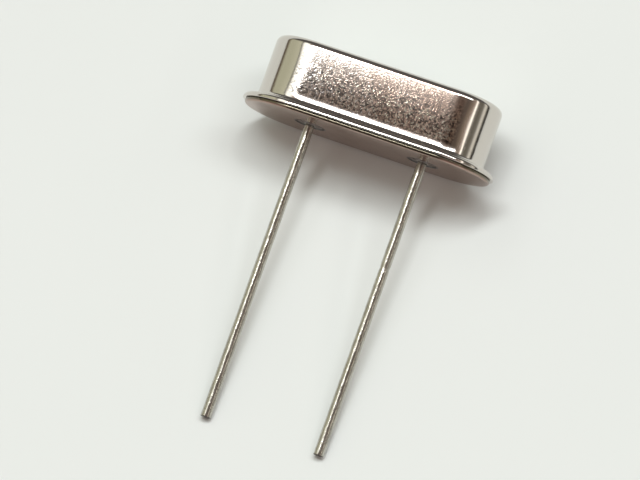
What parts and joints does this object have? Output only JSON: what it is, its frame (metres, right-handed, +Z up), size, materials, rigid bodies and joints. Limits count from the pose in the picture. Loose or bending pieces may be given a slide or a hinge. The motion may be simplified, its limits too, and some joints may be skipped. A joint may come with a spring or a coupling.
{
  "type": "quartz crystal unit",
  "caption": "Low-profile quartz crystal unit: a long rounded metal can with a welded flange, glass-sealed wire leads and a clipped quartz strip inside. Sets an oscillator's frequency.",
  "frame": {"origin": "on the table, at the middle of the footprint of the unit as it lies on its broad side", "axes": "+X along the can's length, +Y from the lead tips towards the top of the can, +Z up from the table"},
  "size_m": [0.0108, 0.016, 0.0047],
  "materials": {
    "cover_nickel": "nickel-plated drawn sheet, satin on the broad faces and brighter round the ends",
    "base_nickel": "nickel-plated stamping, satin",
    "seal_glass": "dark sealing glass, glossy",
    "tinned_wire": "tinned wire with a slightly uneven coat",
    "spring_metal": "thin rolled strip",
    "quartz": "lapped quartz, frosted",
    "electrode_film": "evaporated silver film",
    "conductive_adhesive": "silver-filled adhesive"
  },
  "bodies": {
    "root": {"cover": "cover_nickel", "base": "base_nickel", "glass_seal_left": "seal_glass", "glass_seal_right": "seal_glass", "lead_left": "tinned_wire", "lead_right": "tinned_wire", "spring_left": "spring_metal", "spring_right": "spring_metal", "quartz_blank": "quartz", "electrode_upper": "electrode_film", "electrode_lower": "electrode_film", "adhesive_left": "conductive_adhesive", "adhesive_right": "conductive_adhesive"}
  },
  "joints": []
}
